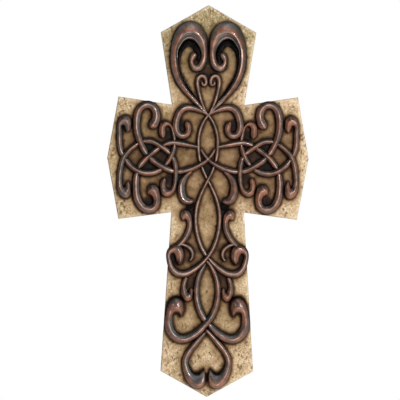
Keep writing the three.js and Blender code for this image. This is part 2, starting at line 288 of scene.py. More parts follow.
# Colours of the bronze
SLATE_DARK = (0.064, 0.061, 0.056)
SLATE_LIGHT = (0.092, 0.083, 0.076)
RED_DARK = (0.108, 0.043, 0.026)
RED_LIGHT = (0.204, 0.084, 0.047)
BRONZE_ORANGE = (0.29, 0.105, 0.048)
# Pale crests: rubbed wear, and painted highlight where they face the lamps
BRONZE_RUBBED_AND_HIGHLIT = (0.53, 0.385, 0.305)
# Black of the finish, also used for painted shade
BRONZE_BLACK_AND_SHADE = (0.004, 0.003, 0.003)

# Floor, in millimetres from the arm axis and the back
FLOOR_TOP = -1500
FLOOR_BOTTOM = -1530
FLOOR_REACH = 16000
FLOOR_BACK = 9500

# Camera and lights in metres, lens and sensor in millimetres, roll in degrees
LENS = 150
SENSOR_WIDTH = 36
VIEW_WIDTH = 0.4
VIEW_CENTRE = (-0.0077, -0.016, -0.042)
VIEW_ROLL = -0.3
LIGHT_AIM = (0, 0, -0.04)


def smooth(t):
    return t * t * (3 - 2 * t)


def between(start, end, share):
    return start + (end - start) * share


def ramp(value, low, high):
    return smooth(np.clip((value - low) / (high - low), 0, 1))


def hump(value, middle, spread):
    return np.exp(-(((value - middle) / spread) ** 2))


def handle_share(theta, phi):
    """Length of a span's handle as a share of its chord, from the angles at this end and at the other."""
    st, ct, sp, cp = math.sin(theta), math.cos(theta), math.sin(phi), math.cos(phi)
    lean = math.sqrt(2) * (st - sp / 16) * (sp - st / 16) * (ct - cp)
    root = math.sqrt(5)
    return (2 + lean) / (3 * (1 + (root - 1) / 2 * ct + (3 - root) / 2 * cp))


def round_curve(points):
    """The roundest curve through points: cubic Bezier spans whose leaving angles balance at each point."""
    last = len(points) - 1
    chords = [complex(*points[k + 1]) - complex(*points[k]) for k in range(last)]
    bends = [0.0]
    for before, after in zip(chords, chords[1:]):
        turn = after / before
        bends.append(math.atan2(turn.imag, turn.real))
    bends.append(0.0)
    matrix = np.zeros((last + 1, last + 1))
    right = np.zeros(last + 1)
    matrix[0, :2] = 1
    right[0] = -bends[1]
    matrix[last, last - 1:] = 1
    for k in range(1, last):
        before = 1 / abs(chords[k - 1])
        after = 1 / abs(chords[k])
        matrix[k, k - 1:k + 2] = before, 2 * before + 2 * after, after
        right[k] = -2 * before * bends[k] - after * bends[k + 1]
    leaving = np.linalg.solve(matrix, right)
    spans = []
    for k, chord in enumerate(chords):
        theta = leaving[k]
        phi = -bends[k + 1] - leaving[k + 1]
        start = complex(*points[k])
        end = complex(*points[k + 1])
        first = start + chord * np.exp(1j * theta) * handle_share(theta, phi)
        second = end - chord * np.exp(-1j * phi) * handle_share(phi, theta)
        spans.append((start, first, second, end))
    return spans


def bezier(span, t):
    """Place, heading and bend at a share of the way along a span."""
    a, b, c, d = span
    u = 1 - t
    point = u**3 * a + 3 * u * u * t * b + 3 * u * t * t * c + t**3 * d
    slope = 3 * u * u * (b - a) + 6 * u * t * (c - b) + 3 * t * t * (d - c)
    curl = 6 * u * (c - 2 * b + a) + 6 * t * (d - 2 * c + b)
    bend = (slope.conjugate() * curl).imag / np.abs(slope) ** 3
    return point, slope / np.abs(slope), bend


def lift_of(point, side):
    """Lift at a pen point. On the centre line the right half's strand passes the other way."""
    if len(point) < 4:
        return 0
    return -point[3] if point[0] == 0 and side > 0 else point[3]


def strand_stations(name, pen, side):
    """Stations along a strand, each with its right and left edge and four numbers.

    They are inward (1 with the bend's inside on the left), the crest's share of the way from right to left,
    the height, and the share of the way into a tail.
    """
    tail_rows = TAILS.get(name, [])
    lead = [((row[0] + row[2]) / 2, (row[1] + row[3]) / 2) for row in tail_rows[:1]]
    spans = round_curve([p[:2] for p in pen] + lead)[:len(pen) - 1]
    rows = []
    for k, span in enumerate(spans):
        steps = max(2, math.ceil(abs(span[3] - span[0]) * 1.1 / STATION_STEP))
        start_lift = lift_of(pen[k], side)
        end_lift = lift_of(pen[k + 1], side)
        for i in range(0 if k == 0 else 1, steps + 1):
            t = i / steps
            width = between(pen[k][2], pen[k + 1][2], smooth(t))
            lift = between(start_lift, end_lift, smooth(t))
            rows.append((*bezier(span, t), width, lift, 1.0))
    ahead = [] if tail_rows else rounded_end(rows[-1], 1)
    rows = rounded_end(rows[0], -1)[::-1] + rows + ahead
    spread = hump(np.arange(-BEND_SPREAD, BEND_SPREAD + 1), 0, BEND_SPREAD / 2)
    turns = np.pad([math.tanh(BEND_GAIN * row[2]) for row in rows], BEND_SPREAD, "edge")
    inward = np.convolve(turns, spread / spread.sum(), "valid")
    stations = [edges_of(row, turn, LEAN.get(name, 0)) for row, turn in zip(rows, inward)]
    return stations + tail_stations(stations, tail_rows, TAIL_CREST.get(name, 0.5))


def rounded_end(station, way):
    """Smaller stations past the end of a strand, which round the end off."""
    place, heading, bend, width, lift, _ = station
    rows = []
    for angle in np.radians(END_TURNS):
        ahead = way * END_REACH * width * math.sin(angle)
        rows.append((place + ahead * heading, heading, bend, width, lift, math.cos(angle)))
    return rows


def bend_limit(bend):
    """How far towards the inside of a bend an edge may lie."""
    return INNER_BEND_LIMIT / max(abs(bend), 1e-6)


def edges_of(row, inward, lean):
    """One station from its place, heading, bend, width, lift and scale."""
    place, heading, bend, width, lift, scale = row
    half = width / 2 * scale
    limit = bend_limit(bend)
    plus = min(half, limit) if bend > 0 else half
    minus = min(half, limit) if bend < 0 else half
    height = CREST_BASE + CREST_PER_WIDTH * width + lift * (OVER_LIFT if lift > 0 else UNDER_DIP)
    height *= 0.35 + 0.65 * scale
    share = minus / (plus + minus)
    crest = share + lean * inward * (1 - share if lean * inward > 0 else share)
    return place - 1j * heading * minus, place + 1j * heading * plus, inward, crest, height, 0


def tail_stations(stations, tail_rows, end_share):
    """Stations of a tail, whose two edges run on smoothly from those of the strand."""
    if not tail_rows:
        return []
    lead, joint = stations[-LEAD_STATIONS], stations[-1]
    start = complex(*tail_rows[0][:2])
    way = 1 if abs(joint[0] - start) < abs(joint[1] - start) else -1
    outer, inner = (0, 1) if way > 0 else (1, 0)
    rails = []
    for edge, columns in ((outer, slice(0, 2)), (inner, slice(2, 4))):
        points = [(p.real, p.imag) for p in (lead[edge], joint[edge])] + [row[columns] for row in tail_rows]
        rails.append(round_curve(points)[1:])
    joint_share = joint[3] if way > 0 else 1 - joint[3]
    rows = []
    for k, (outer_span, inner_span) in enumerate(zip(*rails)):
        steps = max(4, math.ceil(abs(outer_span[3] - outer_span[0]) / STATION_STEP))
        for t in np.arange(1, steps + 1) / steps:
            along = (k + t) / len(tail_rows)
            share = between(joint_share, end_share, ramp(along, 0.15, 0.45))
            feet = bezier(outer_span, t)[0], bezier(inner_span, t)[0]
            height = CREST_BASE + CREST_PER_WIDTH * abs(feet[1] - feet[0])
            right, left = feet if way > 0 else feet[::-1]
            rows.append((right, left, way, share if way > 0 else 1 - share, height, along))
    return rows


def section_nodes(count):
    """Steps across half a section, from the crest (0) to an edge (1)."""
    return np.linspace(0, 1, count + 1)[1:] ** 0.85


def node_count(style, broad):
    """How many steps half a section has: more on a broad strand, most on the heart's bevels."""
    if style == "heart":
        return 14
    return 6 if broad < 6 else 9 if broad < 12 else 13


def section_rise(step, sharp):
    """Height at a step as a share of the crest's."""
    facet = WALL_SHARE + (1 - WALL_SHARE) * (1 - step**sharp)
    return facet - 0.1 * smooth(np.clip((step - 0.8) / 0.2, 0, 1))


def finish_of(name, inner, step, width, bulb, along):
    """Finish across a section: copper, rubbed light, dark, and the share of a bulb.

    Copper is below 0, which leaves it to the way the surface faces, as painted warm light from the lower
    left, and is nearer to 0 on a bulb.
    """
    style = FINISH.get(name, "hook")
    rim = (1 - step) * width / 2
    copper = np.full(len(step), 0.25 * bulb - 1)
    light = 0.75 * hump(step, 0, 0.14)
    if style == "leaf":
        copper = copper - 0.6 * ramp(inner, 0, 0.4)
    if style == "vine":
        light = 0.9 * hump(step, 0, 0.24)
    light *= (1 - 0.3 * ramp(width, 7, 10)) * (1 - 0.6 * bulb)
    light *= CREST_LIGHT.get(name, 1)
    inner_dark = INNER_DARK.get(name, 1)
    # Black rims along each edge: dark patina in the crevice at the foot, with painted shade there
    dark = 1 - ramp(rim, 0.25, 0.6 + 0.1 * width + RIM_DARK.get(name, 0) * bulb)
    dark = np.maximum(dark, ramp(inner, inner_dark, inner_dark + 0.4))
    dark = np.maximum(dark, ramp(along, TIP_FROM.get(name, 0.999), 1))
    dark = np.maximum(dark, bulb * BULB_DARK.get(name, 0))
    return np.stack([copper, light, dark, np.full(len(step), bulb)])


def heart_finish(inner, step, width, along):
    """Finish across the heart: slate, red, bright crest, dark bevel and bright rim, with a red limb."""
    rim = (1 - step) * width / 2
    limb = ramp(along, 0.58, 0.7)
    band = ramp(-inner, -0.06, 0.04) * (1 - ramp(-inner, 0.32, 0.7))
    broad = ramp(-inner, -0.75, -0.4) * (1 - ramp(-inner, 0.3, 0.7))
    bevel = ramp(inner, 0.06, 0.2) * (1 - ramp(inner, 0.6, 0.82))
    copper = np.maximum(between(band, broad, limb), 0.45 * bevel * (1 - limb))
    crest = 0.36 * hump(inner, 0, 0.08) + 0.6 * hump(inner, *HEART_RIM)
    light = crest * (1 - limb) + 0.4 * hump(step, 0, 0.3) * limb
    dark = np.maximum(1 - ramp(rim, 0.25, 0.8), ramp(inner, 0.9, 0.98))
    dark = np.maximum(dark, (1 - limb) * np.maximum(0.65 * hump(inner, *HEART_GROOVE), 0.5 * bevel))
    return np.stack([copper, light, dark, between(0.5 * band, 0.8, limb)])


def on_front(spots, height, side):
    """Points of one half of the casting, at a height above the board's front."""
    return np.column_stack([side * spots.real, -BOARD_THICKNESS - height, ARM_AXIS_DROP - spots.imag])


def strand_mesh(name, pen, side):
    """A closed mesh of one strand with its finish at each vertex."""
    stations = strand_stations(name, pen, side)
    style = FINISH.get(name, "hook")
    nodes = section_nodes(node_count(style, max(abs(station[1] - station[0]) for station in stations)))
    step = np.concatenate([[1], nodes[::-1], [0], nodes, [1]])
    way = np.concatenate([[-1], -np.ones(len(nodes)), [0], np.ones(len(nodes)), [1]])
    vertices, finishes = [], []
    for i, (right, left, inward, crest, height, into_tail) in enumerate(stations):
        along = i / len(stations)
        width = max(abs(left - right), LEAST_WIDTH)
        share = np.where(way < 0, crest * (1 - step), between(crest, 1, step))
        inner = way * step * inward
        rise = section_rise(step, CREST_ROUND[style])
        if style == "heart":
            fade = 1 - ramp(along, 0.6, 0.72)
            rise = rise - 0.05 * fade * hump(inner, *HEART_GROOVE)
            rise = rise + 0.08 * fade * hump(inner, *HEART_RIM)
            finish = heart_finish(inner, step, width, along)
        else:
            finish = finish_of(name, inner, step, width, ramp(into_tail, 0, 0.3), along)
        rise[0] = rise[-1] = 0
        finish[2, [0, -1]] = 1
        vertices.append(on_front(between(right, left, share), rise * height, side))
        finishes.append(finish)
    faces = tube_faces(len(stations), len(step), side)
    return np.concatenate(vertices), faces, np.concatenate(finishes, axis=1)


def web_mesh(pen, side):
    """A low domed web, dark all over."""
    across = np.array([1, 1, 0.85, 0.5, 0, -0.5, -0.85, -1, -1])
    rise = np.array([0, 0.3, 0.65, 0.9, 1, 0.9, 0.65, 0.3, 0])
    vertices = []
    for k, span in enumerate(round_curve([p[:2] for p in pen])):
        steps = max(3, math.ceil(abs(span[3] - span[0]) / WEB_STEP))
        for i in range(0 if k == 0 else 1, steps + 1):
            place, heading, bend = bezier(span, i / steps)
            width = pen[k][2] + (pen[k + 1][2] - pen[k][2]) * i / steps
            half = min(width / 2, bend_limit(bend))
            vertices.append(on_front(place - 1j * heading * half * across, rise * WEB_HEIGHT, side))
    faces = tube_faces(len(vertices), len(across), side)
    finish = np.zeros((4, len(vertices) * len(across)))
    finish[2] = 1
    return np.concatenate(vertices), faces, finish


def tube_faces(rings, around, side):
    """Faces of a tube with closed ends, turned over on the left half, where out runs along -X."""
    faces = []
    for i in range(rings - 1):
        for j in range(around):
            a = i * around + j
            b = i * around + (j + 1) % around
            faces.append((a, b, b + around, a + around))
    faces.append(tuple(range(around))[::-1])
    faces.append(tuple(range((rings - 1) * around, rings * around)))
    return [face[::-1] for face in faces] if side < 0 else faces


def new_object(name, vertices, faces):
    mesh = bpy.data.meshes.new(name)
    mesh.from_pydata((np.asarray(vertices) * MM).tolist(), [], faces)
    mesh.update()
    obj = bpy.data.objects.new(name, mesh)
    bpy.context.scene.collection.objects.link(obj)
    return obj


def set_attribute(obj, name, values):
    layer = obj.data.attributes.new(name, "FLOAT", "POINT")
    layer.data.foreach_set("value", np.asarray(values, np.float32))


def set_colour(obj, name, values):
    layer = obj.data.attributes.new(name, "FLOAT_COLOR", "POINT")
    opaque = np.column_stack([values, np.ones(len(values))])
    layer.data.foreach_set("color", opaque.astype(np.float32).ravel())


def vertex_array(obj):
    """An object's vertices in millimetres."""
    flat = np.zeros(len(obj.data.vertices) * 3, np.float32)
    obj.data.vertices.foreach_get("co", flat)
    return flat.reshape(-1, 3) / MM


def join_with(obj, solids, operation):
    """Joins solids to an object or cuts them out of it, and removes them."""
    tools = bpy.data.collections.new("solids")
    bpy.context.scene.collection.children.link(tools)
    for solid in solids:
        bpy.context.scene.collection.objects.unlink(solid)
        tools.objects.link(solid)
    joint = obj.modifiers.new("joint", "BOOLEAN")
    joint.operation = operation
    joint.operand_type = "COLLECTION"
    joint.collection = tools
    joint.solver = "MANIFOLD"
    evaluated = obj.evaluated_get(bpy.context.evaluated_depsgraph_get())
    result = bpy.data.meshes.new_from_object(evaluated)
    obj.modifiers.clear()
    obj.data = result
    for solid in solids:
        bpy.data.objects.remove(solid)
    bpy.data.collections.remove(tools)


def weld_skin(obj):
    """Welds a joined skin's shortest edges, cuts it into triangles and takes out any two face to face."""
    skin = bmesh.new()
    skin.from_mesh(obj.data)
    bmesh.ops.remove_doubles(skin, verts=skin.verts, dist=WELD * MM)
    bmesh.ops.dissolve_degenerate(skin, edges=skin.edges, dist=WELD * MM)
    bmesh.ops.triangulate(skin, faces=skin.faces, quad_method="BEAUTY", ngon_method="BEAUTY")
    skin.verts.index_update()
    sharing = {}
    for face in skin.faces:
        sharing.setdefault(frozenset(v.index for v in face.verts), []).append(face)
    doubled = [face for faces in sharing.values() if len(faces) > 1 for face in faces]
    bmesh.ops.delete(skin, geom=doubled, context="FACES")
    skin.to_mesh(obj.data)
    skin.free()


def cast_scrollwork():
    """One casting: every strand and web joined into a single skin."""
    parts = []
    for side in (-1, 1):
        parts += [strand_mesh(name, pen, side) for name, pen in STRANDS.items()]
        parts += [web_mesh(pen, side) for pen in WEBS.values()]
    casting = new_object("scrollwork_cast", *parts[0][:2])
    others = [new_object(f"strand_{i}", *part[:2]) for i, part in enumerate(parts[1:])]
    join_with(casting, others, "UNION")
    weld_skin(casting)
    return casting, parts


class Front:
    """Maps of the front, one cell a millimetre: height of the casting, how it shuts in the board, and where
    its painted shadow falls.
    """

    LOW_X, LOW_Z = -112, -252
    CELLS = (224, 420)
    FARTHEST = 24
    DIRECTIONS = 16
    SIGHT = 26

    def __init__(self, parts):
        points = np.concatenate([part[0] for part in parts])
        cells = np.round(points[:, (0, 2)] - (self.LOW_X, self.LOW_Z)).astype(int)
        self.height = np.zeros(self.CELLS)
        np.maximum.at(self.height, (cells[:, 0], cells[:, 1]), -points[:, 1] - BOARD_THICKNESS)
        covered = self.height > 0.5
        self.crowd = self.blur(self.height, 2.2)
        away = self.distance(covered)
        self.away = self.blur(away, 0.8)
        # Painted shadow falls on the casting's left and below it
        across, up = np.gradient(self.blur(away, 1.2))
        self.shadow_side = (0.45 - 0.45 * across - 0.2 * up).clip(0, 1)
        self.room = np.sqrt(self.blur(away**2, 5) / self.blur(1.0 - covered, 5).clip(0.01))
        self.shut_in = self.blur(self.enclosure(covered), 1.5)

    def blur(self, field, sigma):
        along = np.fft.fftfreq(field.shape[0])[:, None]
        up = np.fft.rfftfreq(field.shape[1])[None, :]
        soft = np.exp(-2 * (math.pi * sigma) ** 2 * (along**2 + up**2))
        return np.fft.irfft2(np.fft.rfft2(field) * soft, field.shape)

    def distance(self, covered):
        """Distance of each cell from the casting, grown in steps that are square and diamond in turn."""
        away = np.where(covered, 0.0, self.FARTHEST)
        grown = covered.copy()
        for step in range(1, self.FARTHEST):
            sideways = grown | np.roll(grown, 1, 0) | np.roll(grown, -1, 0)
            wider = sideways | np.roll(grown, 1, 1) | np.roll(grown, -1, 1)
            if step % 2:
                wider |= np.roll(sideways, 1, 1) | np.roll(sideways, -1, 1)
            away[wider & ~grown] = step
            grown = wider
        return away

    def enclosure(self, covered):
        """Share of the directions in which a cell has the casting near it."""
        hits = np.zeros(self.CELLS)
        for turn in np.radians(np.arange(0, 360, 360 / self.DIRECTIONS)):
            seen = covered.copy()
            for reach in range(1, self.SIGHT + 1):
                shift = round(reach * math.cos(turn)), round(reach * math.sin(turn))
                seen |= np.roll(covered, shift, (0, 1))
            hits += seen
        return hits / self.DIRECTIONS

    def at(self, field, x, z):
        """Values of a map at places between its cells."""
        u = np.clip(x - self.LOW_X, 0, self.CELLS[0] - 1.001)
        v = np.clip(z - self.LOW_Z, 0, self.CELLS[1] - 1.001)
        i, j = u.astype(int), v.astype(int)
        a, b = u - i, v - j
        lower = field[i, j] * (1 - a) + field[i + 1, j] * a
        upper = field[i, j + 1] * (1 - a) + field[i + 1, j + 1] * a
        return lower * (1 - b) + upper * b


def board_loop():
    """The board's outline as a closed loop of (x, z)."""
    right = [(half, ARM_AXIS_DROP - drop) for half, drop in BOARD_OUTLINE]
    left = [(-x, z) for x, z in right[-2:0:-1]]
    return np.array(right + left, float)


def drawn_in(loop, distance):
    """A loop drawn in by a distance."""
    edges = np.roll(loop, -1, 0) - loop
    edges /= np.linalg.norm(edges, axis=1)[:, None]
    normals = np.column_stack([edges[:, 1], -edges[:, 0]])
    before = np.roll(normals, 1, 0)
    mitre = (before + normals) / (1 + (before * normals).sum(1))[:, None]
    return loop + distance * mitre


def finely(loop, counts):
    """A loop with each edge cut into its count of pieces."""
    rows = []
    for start, end, count in zip(loop, np.roll(loop, -1, 0), counts):
        share = np.arange(count)[:, None] / count
        rows.append(between(start, end, share))
    return np.concatenate(rows)


def inside(loop, x, z):
    odd = np.zeros(len(x), bool)
    for (xa, za), (xb, zb) in zip(loop, np.roll(loop, -1, 0)):
        crosses = (za > z) != (zb > z)
        with np.errstate(divide="ignore", invalid="ignore"):
            odd ^= crosses & (x < xa + (xb - xa) * (z - za) / (zb - za))
    return odd


def noise_at(points, scale):
    return np.array([noise.fractal(Vector(p) / scale, 1.0, 2.0, 3) for p in points])


def noise_over(spots, layer, scale):
    """Noise at spots (x, z), from one layer of a solid noise."""
    return noise_at([(x, layer, z) for x, z in spots], scale)


def scatter_pits(front, loop):
    """Pits and short streaks of pits, thickest on the open stone: (x, z, length, width, angle, depth)."""
    dice = np.random.RandomState(PIT_SEED)
    pits = []
    while len(pits) < PIT_COUNT:
        x = dice.uniform(*PIT_RANGE_X)
        z = dice.uniform(*PIT_RANGE_Z)
        spots = np.array([x]), np.array([z])
        crowded = front.at(front.shut_in, *spots)[0]
        if not inside(loop, *spots)[0] or dice.uniform() < 0.75 * crowded:
            continue
        lean = dice.normal(0.9, 0.5)
        for i in range(dice.choice([1, 1, 2, 3])):
            long = dice.uniform(0.7, 1.5)
            pits.append((
                x + PIT_SPACING * i * math.cos(lean) + dice.normal(0, 0.3),
                z + PIT_SPACING * i * math.sin(lean) + dice.normal(0, 0.3),
                long,
                long * dice.uniform(0.45, 0.9),
                lean + dice.normal(0, 0.4),
                dice.uniform(0.25, 0.9),
            ))
    return pits


def pit_depth(pits, x, z):
    depth = np.zeros(len(x))
    for px, pz, long, wide, lean, deep in pits:
        near = np.nonzero((np.abs(x - px) < 2 * long) & (np.abs(z - pz) < 2 * long))[0]
        dx, dz = x[near] - px, z[near] - pz
        along = (dx * math.cos(lean) + dz * math.sin(lean)) / long
        across = (dz * math.cos(lean) - dx * math.sin(lean)) / wide
        hollow = deep * np.clip(1 - (along**2 + across**2) / 1.6, 0, 1)
        depth[near] = np.maximum(depth[near], hollow)
    return depth


def prism(name, loop, back, face):
    """A closed prism over a loop of (x, z) between two depths."""
    count = len(loop)
    rows = [(x, y, z) for y in (back, face) for x, z in loop]
    faces = [(i, (i + 1) % count, count + (i + 1) % count, count + i) for i in range(count)]
    faces += [tuple(range(count))[::-1], tuple(range(count, 2 * count))]
    return new_object(name, rows, faces)


def slot_loop(low, high, radius):
    """An upright slot with round ends, as a loop of (x, z)."""
    turns = np.radians(np.arange(0, 181, 10))
    top = [(radius * math.cos(t), high + radius * math.sin(t)) for t in turns]
    bottom = [(-radius * math.cos(t), low - radius * math.sin(t)) for t in turns]
    return top + bottom


def edge_distance(loop, x, z):
    nearest = np.full(len(x), 1e9)
    for (xa, za), (xb, zb) in zip(loop, np.roll(loop, -1, 0)):
        ex, ez = xb - xa, zb - za
        share = np.clip(((x - xa) * ex + (z - za) * ez) / (ex * ex + ez * ez), 0, 1)
        nearest = np.minimum(nearest, np.hypot(x - xa - share * ex, z - za - share * ez))
    return nearest


def front_sheet(loop, worn):
    """Triangles over the front, between its worn edge and a staggered grid that keeps clear of the edge."""
    grid = []
    row_step = GRAIN_STEP * math.sqrt(3) / 2
    for row, z in enumerate(np.arange(-HEIGHT, HEIGHT, row_step)):
        shift = GRAIN_STEP / 2 * (row % 2)
        grid += [(x + shift, z) for x in np.arange(-GRID_REACH, GRID_REACH, GRAIN_STEP)]
    grid = np.array(grid)
    grid = grid[inside(drawn_in(loop, 2.2 * EDGE_CHAMFER), grid[:, 0], grid[:, 1])]
    count = len(worn)
    flat = [Vector(p) for p in np.concatenate([worn, grid])]
    edges = [(i, (i + 1) % count) for i in range(count)]
    spots, _, faces, sources, _, _ = geometry.delaunay_2d_cdt(flat, edges, [], 1, 1e-6)
    row_of = {source[0]: i for i, source in enumerate(sources) if source}
    return np.array(spots), faces, [row_of[i] for i in range(count)]


def side_ring(outer, inward, wear, level):
    """One ring of points round the rough sides, at a level behind the front."""
    y = level - BOARD_THICKNESS
    if level == BOARD_THICKNESS:
        sink = np.zeros(len(outer))
    elif level > 1:
        sink = np.clip(0.12 + 0.12 * noise_over(outer, level * 3, 3.5), 0, 2)
    else:
        sink = np.clip((1 - level) * 0.6 * EDGE_CHAMFER + 0.1 * wear + 0.1, 0, 2)
        y = level * EDGE_CHAMFER - BOARD_THICKNESS
    place = outer + inward * sink[:, None]
    return np.column_stack([place[:, 0], np.full(len(outer), y), place[:, 1]])


def cut_keyhole(board):
    entry = ARM_AXIS_DROP - KEYHOLE_DROP
    top = entry + KEYHOLE_RISE
    join_with(board, [
        prism("entry", slot_loop(entry, entry + 0.01, HEAD_RADIUS), CUT_OVERHANG, -KEYHOLE_LIP),
        prism("neck", slot_loop(entry, top, NECK_RADIUS), CUT_OVERHANG, -KEYHOLE_LIP),
        prism("pocket", slot_loop(entry, top, HEAD_RADIUS), -HEAD_ROOM[0], -HEAD_ROOM[1]),
    ], "DIFFERENCE")


def carve_board(front):
    """The stone-look board: a pitted front, worn edges, rough sides and a plain back with its keyhole."""
    loop = board_loop()
    lengths = np.linalg.norm(np.roll(loop, -1, 0) - loop, axis=1)
    counts = np.ceil(lengths / GRAIN_STEP).astype(int)
    outer = finely(loop, counts)
    inward = (finely(drawn_in(loop, EDGE_CHAMFER), counts) - outer) / EDGE_CHAMFER
    wear = noise_over(outer, 0, 4.0)
    chips = np.clip(noise_over(outer, 40, 9.0) - 0.15, 0, 1)
    worn = outer + inward * (EDGE_CHAMFER * (0.75 + 0.35 * wear + 1.6 * chips))[:, None]
    spots, faces, ring = front_sheet(loop, worn)

    pits = scatter_pits(front, loop)
    swell = noise_over(spots, 7, 14.0)
    grain = noise_over(spots, 3, 2.6)
    depth = 0.12 * swell + 0.09 * grain + pit_depth(pits, spots[:, 0], spots[:, 1]) + 0.05
    depth = np.maximum(depth, 0)
    rows = [np.column_stack([spots[:, 0], depth - BOARD_THICKNESS, spots[:, 1]])]
    count = len(ring)
    total = len(spots)
    for level in SIDE_LEVELS:
        rows.append(side_ring(outer, inward, wear, level))
        below = list(range(total, total + count))
        faces += [(ring[i], ring[(i + 1) % count], below[(i + 1) % count], below[i]) for i in range(count)]
        ring = below
        total += count
    faces.append(tuple(ring))
    board = new_object("stone_board", np.concatenate(rows), faces)
    cut_keyhole(board)
    dress_board(board, front, loop, pits)
    return board


def dress_board(board, front, loop, pits):
    """The board carries its brown wash and painted shade, deepest in the pockets, its pits and its bare
    edges.
    """
    x, y, z = vertex_array(board).T.astype(float)
    is_front = ramp(-y, BOARD_THICKNESS - 3, BOARD_THICKNESS - 1)
    shut_in = front.at(front.shut_in, x, z) ** 2.8
    away = front.at(front.away, x, z)
    room = front.at(front.room, x, z)
    # Darker in narrow pockets and close to the strands: brown wash with painted shade
    depth = 0.5 * (1 - ramp(room, 6, 9)) + 0.35 * (1 - ramp(room, 3.3, 5.5)) + 0.9 * np.exp(-away / 2.2)
    depth *= 1 - 0.4 * ramp(ARM_AXIS_DROP - z, 260, 330) - 0.3 * ramp(z, 40, 60)
    for out, drop, radius, extra in DEEP_POCKETS:
        reach = np.hypot(np.abs(x) - out, ARM_AXIS_DROP - z - drop) / radius
        depth += extra * (1 - ramp(reach, 0.6, 1.4))
    # Painted shadow on the board to the left of and below each strand
    painted_shadow = 0.65 * front.at(front.shadow_side, x, z) * np.exp(-away / 5)
    # Painted shade: a dark contact line along the casting's foot
    wash_and_shade = shut_in * depth + 0.14 * (1 - shut_in) + painted_shadow + 1.3 * hump(away, 0, 1.2)
    wash_and_shade *= is_front * (1 + 0.3 * noise_at(np.column_stack([x, y, z]), 5.0))
    set_colour(board, "wash_and_shade", np.exp(-np.outer(wash_and_shade, WASH_AND_SHADE_DEPTH)))
    set_attribute(board, "pit", ramp(pit_depth(pits, x, z), 0.1, 0.5) * is_front)
    set_attribute(board, "edge", (1 - ramp(edge_distance(loop, x, z), 0.6, 2.6)) * is_front)


def dress_casting(casting, parts, front):
    """The casting carries its finish from the strands, with painted light and shade by the way each slope
    faces, and is darkest where strands crowd in, with dark patina and painted shade there.
    """
    points = np.concatenate([part[0] for part in parts])
    finish = np.concatenate([part[2] for part in parts], axis=1)
    tree = kdtree.KDTree(len(points))
    for i, point in enumerate(points):
        tree.insert(point, i)
    tree.balance()
    places = vertex_array(casting)
    source = np.array([tree.find(p)[1] for p in places])
    x, y, z = places.T.astype(float)
    # Darkest where strands crowd in: dark patina in the crevices, with painted shade there
    sunk = ramp(front.at(front.crowd, x, z) + y + BOARD_THICKNESS, -0.6, 1.8)
    normals = np.zeros(len(places) * 3, np.float32)
    casting.data.vertices.foreach_get("normal", normals)
    normals = normals.reshape(-1, 3)
    # Copper on slopes facing the lower left and slate on those facing the upper right: painted warm light
    # and painted cool sheen
    facing = normals @ np.array(WARM_LIT_SIDE)
    copper, light, dark, bulb = finish[:, source]
    strand = copper < 0
    lit = ramp(facing, -0.3, 0.2)
    # Painted light: dark rims lighter on slopes facing the lower right
    dark = dark * np.where(strand, 1 - 0.3 * ramp(normals @ np.array(LIT_RIM_SIDE), 0.1, 0.6), 1)
    # More copper on the right half, less at the left arm's tip
    least = 1.2 + copper + 0.3 * ramp(x, -20, 20)
    dulled = 1 - 0.6 * ramp(-x, 72, 84)
    set_attribute(casting, "copper", np.where(strand, dulled * between(least, 1, lit), copper))
    sideways, up = normals[:, 0], normals[:, 2]
    # Orange on the bulbs, kept to their sides that face down: copper on the bulbs with painted warm light
    # from below
    set_attribute(casting, "orange", 0.65 * dulled * bulb * ramp(-up, -0.55, 0.2))
    # Painted highlight: the rubbed crests brighter where they face right and up, towards the lamps
    set_attribute(casting, "light", light * np.clip(0.75 + 0.8 * sideways + 0.3 * up, 0.3, 1.2))
    # Painted shade by the way each slope faces: on the strands, darker facing up, facing left and turned
    # from the lower left; on the heart, darker facing right
    strand_shade = 0.4 * (1 - lit) * (1 - 0.8 * ramp(sideways, 0.2, 0.6)) + 0.2 * ramp(-sideways, 0.1, 0.5)
    strand_shade = np.maximum(strand_shade, 0.65 * ramp(up, 0.35, 0.8))
    shade = np.where(strand, strand_shade, 0.4 * ramp(sideways, 0.2, 0.7))
    set_attribute(casting, "dark", np.maximum(np.maximum(dark, sunk), shade))


